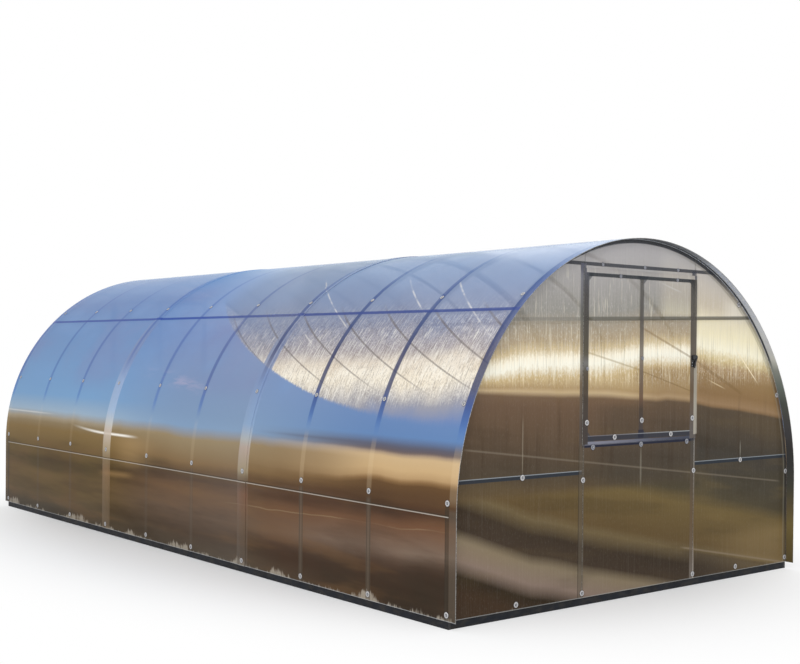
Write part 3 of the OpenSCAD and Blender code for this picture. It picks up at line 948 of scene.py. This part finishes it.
def gable_tubes(end, turn):
    """The posts, tie bar, mid rails and sill rail."""
    bm = bmesh.new()
    for x in (-POST_X, POST_X):
        bar(bm, (x, FRAME_Y, RAIL_H), (x, FRAME_Y, TIE_Z - HALF), (1, 0, 0))
    tube_piece(f"{end}_posts", bm, turn)

    bm = bmesh.new()
    coped_bar(bm, -ARCH_R, ARCH_R, TIE_Z)
    tube_piece(f"{end}_tie_bar", bm, turn)

    bm = bmesh.new()
    coped_bar(bm, -ARCH_R, -POST_X - HALF, MID_Z)
    coped_bar(bm, POST_X + HALF, ARCH_R, MID_Z)
    tube_piece(f"{end}_mid_rails", bm, turn)

    bm = bmesh.new()
    inside_x = POST_X - HALF
    bar(bm, (-inside_x, FRAME_Y, SILL_Z), (inside_x, FRAME_Y, SILL_Z), (0, 1, 0))
    tube_piece(f"{end}_sill_rail", bm, turn)


def gable_sheets(end, turn):
    """Two side sheets, the top one over the window and the one under it."""
    joint, radius = (corner.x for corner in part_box("front_sheet_right"))
    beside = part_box("front_sheet_lower")[1].x
    outlines = {
        "sheet_left": arch_outline(-radius, -joint, FOOT_Z, radius),
        "sheet_right": arch_outline(joint, radius, FOOT_Z, radius),
        "sheet_top": arch_outline(-beside, beside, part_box("front_sheet_top")[0].z, radius),
        "sheet_lower": rectangle(-beside, beside, FOOT_Z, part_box("front_sheet_lower")[1].z)}
    for name, outline in outlines.items():
        bm = bmesh.new()
        plate(bm, outline, gable_place(FACE_Y), SHEET, paint=(0, 1, 2))
        piece(f"{end}_{name}_skin", bm, GABLE, [f"{end}_{name}"], turn)


def window(end, turn):
    """The sash: a mitred frame with its stile, corner plates and sheet."""
    _, y, z0 = middle("front_window_frame")
    wide, high = SASH_HI.x - HALF, SASH_HI.z - HALF - z0
    rings = [lambda a, b, s=s, t=t: Vector((s * (wide + a), y + b, z0 + t * (high + a)))
             for s, t in ((-1, -1), (1, -1), (1, 1), (-1, 1))]
    bm = bmesh.new()
    sweep(bm, tube_loops(), rings, closed=True)
    bar(bm, (0, y, SASH_LO.z + TUBE), (0, y, SASH_HI.z - TUBE), (1, 0, 0))
    for x, toward in ((SASH_LO.x + TUBE, 1), (-HALF, -1), (HALF, 1), (SASH_HI.x - TUBE, -1)):
        for z, up in ((SASH_LO.z + TUBE, 1), (SASH_HI.z - TUBE, -1)):
            gusset(bm, x, z, toward, up, y=y)
    tube_piece(f"{end}_window_frame", bm, turn)

    bm = bmesh.new()
    outline = rectangle(PANE_LO.x, PANE_HI.x, PANE_LO.z, PANE_HI.z)
    plate(bm, outline, gable_place(PANE_LO.y), SHEET, paint=(0, 1, 2))
    piece(f"{end}_window_sheet_skin", bm, PANE, [f"{end}_window_sheet"], turn)


def latch(end, turn):
    """A black turn latch: a plate with two screws, a boss and a hooked lever."""
    lo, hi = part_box("front_window_latch")
    x, _, z = middle("front_window_latch")
    thick = 0.003
    bm = bmesh.new()
    base = [(x + a, z + b) for a, b in rounded(0.015, 0.036, 0.006, 5)]
    plate(bm, base, gable_place(hi.y - thick), thick, 0.0008)
    outward = Matrix.Rotation(math.pi / 2, 4, "X")
    boss = [(0.0115, -0.001), (0.011, 0.006), (0.009, 0.01)]
    lathe(bm, boss, Matrix.Translation((x, hi.y - thick, z + 0.018)) @ outward, 28)
    lever = [(-0.012, 0.01), (0.01, 0.012), (0.024, 0.022), (0.006, -0.014), (0.0, -0.038),
             (0.008, -0.042), (0.014, -0.02), (0.034, 0.02), (0.034, 0.03), (0.026, 0.036),
             (0.002, 0.034), (-0.012, 0.03)]
    plate(bm, [(x + a, z + b) for a, b in lever], gable_place(lo.y), 0.007, 0.0012)
    head = [(0.0034, -0.0002), (0.0032, 0.001), (0.0018, 0.0016)]
    for b in (-0.028, -0.01):
        lathe(bm, head, Matrix.Translation((x - 0.009, hi.y - thick, z + b)) @ outward, 14, 1)
    piece(f"{end}_latch_body", bm, [RUBBER, ZINC], [f"{end}_window_latch"], turn)


def hinges(end, turn):
    """Two leaf hinges inside the gable, each with three knuckles and a pin."""
    lo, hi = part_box("front_window_hinges")
    height = 0.06
    pin_x, pin_y = -(POST_X - HALF) + 0.0015, hi.y - 0.0045
    leaf_y, leaf = lo.y + 0.0043, 0.002
    block = 0.0063
    tall = height / 3 - 0.0006
    knuckle = [(0.004, 0), (0.0045, 0.0005), (0.0045, tall - 0.0005), (0.004, tall)]
    head = [(0.0034, -0.0002), (0.003, 0.001), (0, 0.0014)]
    bm = bmesh.new()
    for low in (lo.z, hi.z - height):
        top = low + height
        for part in range(3):
            lathe(bm, knuckle, Matrix.Translation((pin_x, pin_y, low + part * height / 3 + 0.0003)))
        pin = [(0.0022, 0), (0.0022, height)]
        lathe(bm, pin, Matrix.Translation((pin_x, pin_y, low)), 14, 1)
        plate(bm, rectangle(pin_x - 0.018, pin_x - 0.0005, low, top), gable_place(leaf_y), leaf)
        plate(bm, rectangle(pin_x + 0.0015, pin_x + 0.0195, low, top), gable_place(lo.y), block, 0.0006)
        for x, y in ((pin_x - 0.011, leaf_y + leaf), (pin_x + 0.012, lo.y + block)):
            for z in (low + 0.01, top - 0.01):
                inward = Matrix.Translation((x, y, z)) @ Matrix.Rotation(-math.pi / 2, 4, "X")
                lathe(bm, head, inward, 12, 1)
    piece(f"{end}_hinge_leaves", bm, HARDWARE, [f"{end}_window_hinges"], turn)


def gable_screws(end, turn):
    """Cap screws of the gable and the sash; the high ones are smaller."""
    bm = bmesh.new()
    hoop_x = [(arch_limit(z, ARCH_R - TUBE * 0.7), z) for z in SIDE_HEIGHTS]
    fixed = GABLE_SCREWS + [(side * x, z) for side in (-1, 1) for x, z in hoop_x]
    for places, y, small_from in ((fixed, FACE_Y, 1.8), (PANE_SCREWS, PANE_LO.y, 1.2)):
        for x, z in places:
            cap_screw(bm, (x, y, z), (0, -1, 0), 0.85 if z > small_from else 1.25)
    piece(f"{end}_screws", bm, SCREW, turn=turn)


def corner_plates(end, turn):
    """Small plates in the corners of the gable's frame, and a larger one at each hoop's foot."""
    bm = bmesh.new()
    for side in (-1, 1):
        inner, outer = side * (POST_X - HALF), side * (POST_X + HALF)
        for x, toward in ((inner, -side), (outer, side)):
            gusset(bm, x, TIE_Z - HALF, toward, -1)
            gusset(bm, x, RAIL_H, toward, 1)
        gusset(bm, outer, MID_Z - HALF, side, -1)
        gusset(bm, outer, MID_Z + HALF, side, 1)
        gusset(bm, inner, SILL_Z - HALF, -side, -1)
        gusset(bm, side * (ARCH_R - TUBE - 0.0004), RAIL_H, -side, 1, 0.035)
    piece(f"{end}_corner_plates", bm, [FRAME], turn=turn)


# each gable is drawn at the front and turned to its end
for end, turn in (("front", Matrix.Identity(4)), ("rear", Matrix.Rotation(math.pi, 4, "Z"))):
    for build in (gable_tubes, gable_sheets, window, latch, hinges, gable_screws, corner_plates):
        build(end, turn)


# ---- screws, joint plates and plugs of the long sides ----

def side_screws(side, side_name):
    """Cap screws through the bent sheets into every hoop."""
    bm = bmesh.new()
    for y in HOOP_Y:
        lapped = min(abs(y - lap) for lap in LAP_HOOPS) < 0.01
        radius = ARCH_R + (2 if lapped else 1) * (SEAT + SHEET)
        for z in SIDE_HEIGHTS:
            turn = math.asin(max(z - LEG_H, 0) / radius)
            out = Vector((side * math.cos(turn), 0, math.sin(turn)))
            at = out * radius + Vector((0, y, LEG_H if z > LEG_H else z))
            cap_screw(bm, at, out, 1.25 if z < 1 else 1.0, 0.6 if lapped and z < LEG_H + 0.1 else 1.0)
    piece(f"{side_name}_side_screws", bm, SCREW)


def joint_plates(side, side_name):
    """A bolted plate inside each crossing of a hoop and a purlin, and one at each hoop's foot."""
    bm = bmesh.new()
    for y in HOOP_Y[1:-1]:
        for turn, z in ((0.0, LOW_PURLIN_Z), (HIGH_PURLIN, LEG_H)):
            out = Vector((side * math.cos(turn), 0, math.sin(turn)))
            up = Vector((-side * math.sin(turn), 0, math.cos(turn)))
            at = out * (ARCH_R - TUBE - SEAT) + Vector((0, y, z))

            def place(u, v, w, at=at, out=out, up=up):
                return at + Vector((0, u, 0)) + v * up - w * out
            plate(bm, rounded(0.034, 0.009, 0.003, 2), place, 0.002)
            for u in (-0.022, 0.022):
                bolt(bm, place(u, 0, 0.002), -out)
    x = side * (ARCH_R - TUBE)
    for y in HOOP_Y:
        toward = 1 if y < 0 else -1
        outline = [(0, 0), (toward * 0.03, 0), (0, 0.03)]
        if toward < 0:
            outline.reverse()

        def place(u, v, w, y=y, toward=toward):
            return Vector((x + side * (HALF + w - 0.001), y + toward * HALF + u, RAIL_H + v))
        plate(bm, outline, place, 0.002, 0.0003)
    piece(f"{side_name}_joint_plates", bm, HARDWARE)


def end_plugs():
    """Plastic plugs in the open ends of the long base rails."""
    bm = bmesh.new()
    outline = rounded(HALF - WALL - 0.0002, RAIL_H / 2 - WALL - 0.0002, 0.0012, 2)
    for x in (-1, 1):
        for y in (-1, 1):
            def place(u, v, w, x=x, y=y):
                return Vector((x * (ARCH_R - HALF) + u, y * (END_Y - 0.0006 - w), RAIL_H / 2 + v))
            plate(bm, outline, place, 0.004, 0.0005)
    piece("base_end_plugs", bm, [RUBBER])


for side, side_name in SIDES:
    side_screws(side, side_name)
    joint_plates(side, side_name)
end_plugs()


# ---- camera, floor and light ----

def seen_white(tree, shader, white_node, share=1.0):
    """White for the camera, in reflections and through clear sheets; the shader gives the light."""
    white, blend = tree.nodes.new(white_node), tree.nodes.new("ShaderNodeMixShader")
    white.inputs[0].default_value = (1, 1, 1, 1)
    rays = tree.nodes.new("ShaderNodeLightPath").outputs
    seen = Val(tree, rays["Is Camera Ray"])
    for kind in ("Is Glossy Ray", "Is Transmission Ray"):
        seen = seen.most(Val(tree, rays[kind]))
    tree.links.new((seen * share).socket, blend.inputs[0])
    tree.links.new(shader, blend.inputs[1])
    tree.links.new(white.outputs[0], blend.inputs[2])
    return blend.outputs[0]


def build_camera():
    """A camera off the front left corner, at eye height and almost level."""
    camera = add_object("camera", bpy.data.cameras.new("camera"))
    yaw, pitch, roll = (Matrix.Rotation(math.radians(angle), 4, axis)
                        for angle, axis in ((-38.987, "Z"), (90 - 0.475, "X"), (0.52, "Z")))
    camera.matrix_world = Matrix.Translation((-5.584, -7.633, 1.436)) @ yaw @ pitch @ roll
    camera.data.lens = 54.18
    camera.data.shift_y = 0.035
    camera.data.sensor_width = 36
    camera.data.clip_end = 200
    bpy.context.scene.camera = camera


def build_floor():
    """A pale floor that keeps the object's shadow and turns white away from it."""
    bm = bmesh.new()
    bmesh.ops.create_grid(bm, x_segments=1, y_segments=1, size=60)
    mesh = bpy.data.meshes.new("floor")
    bm.to_mesh(mesh)
    bm.free()
    floor = add_object("floor", mesh)
    floor.location.z = -0.001
    p = Paint("floor")
    p.set(Base_Color=[0.88, 0.88, 0.885, 1], Roughness=0.9, Specular_IOR_Level=0.0)
    away = (p.x * p.x + p.y * p.y * 0.45).calc("SQRT")
    shader = seen_white(p.tree, p.shader.outputs[0], "ShaderNodeEmission", away.step(1.75, 3.2))
    p.tree.links.new(shader, p.tree.nodes["Material Output"].inputs[0])
    mesh.materials.append(p.material)


def build_light():
    """A soft pale sky with two large lamps."""
    world = bpy.data.worlds.new("studio")
    bpy.context.scene.world = world
    world.use_nodes = True
    soft = world.node_tree.nodes["Background"]
    soft.inputs[0].default_value = (0.97, 0.985, 1, 1)
    soft.inputs[1].default_value = 0.75
    shader = seen_white(world.node_tree, soft.outputs[0], "ShaderNodeBackground")
    world.node_tree.links.new(shader, world.node_tree.nodes["World Output"].inputs[0])

    for name, at, size, power in (("key", (-8, -9, 9), 9, 900), ("fill", (9, 4, 10), 10, 450)):
        lamp = bpy.data.lights.new(name, "AREA")
        lamp.size, lamp.energy = size, power
        add_object(name, lamp).matrix_world = facing(at, Vector(at) - Vector((0, 0, 0.8)))


build_camera()
build_floor()
build_light()
bpy.context.scene.view_settings.view_transform = "Standard"
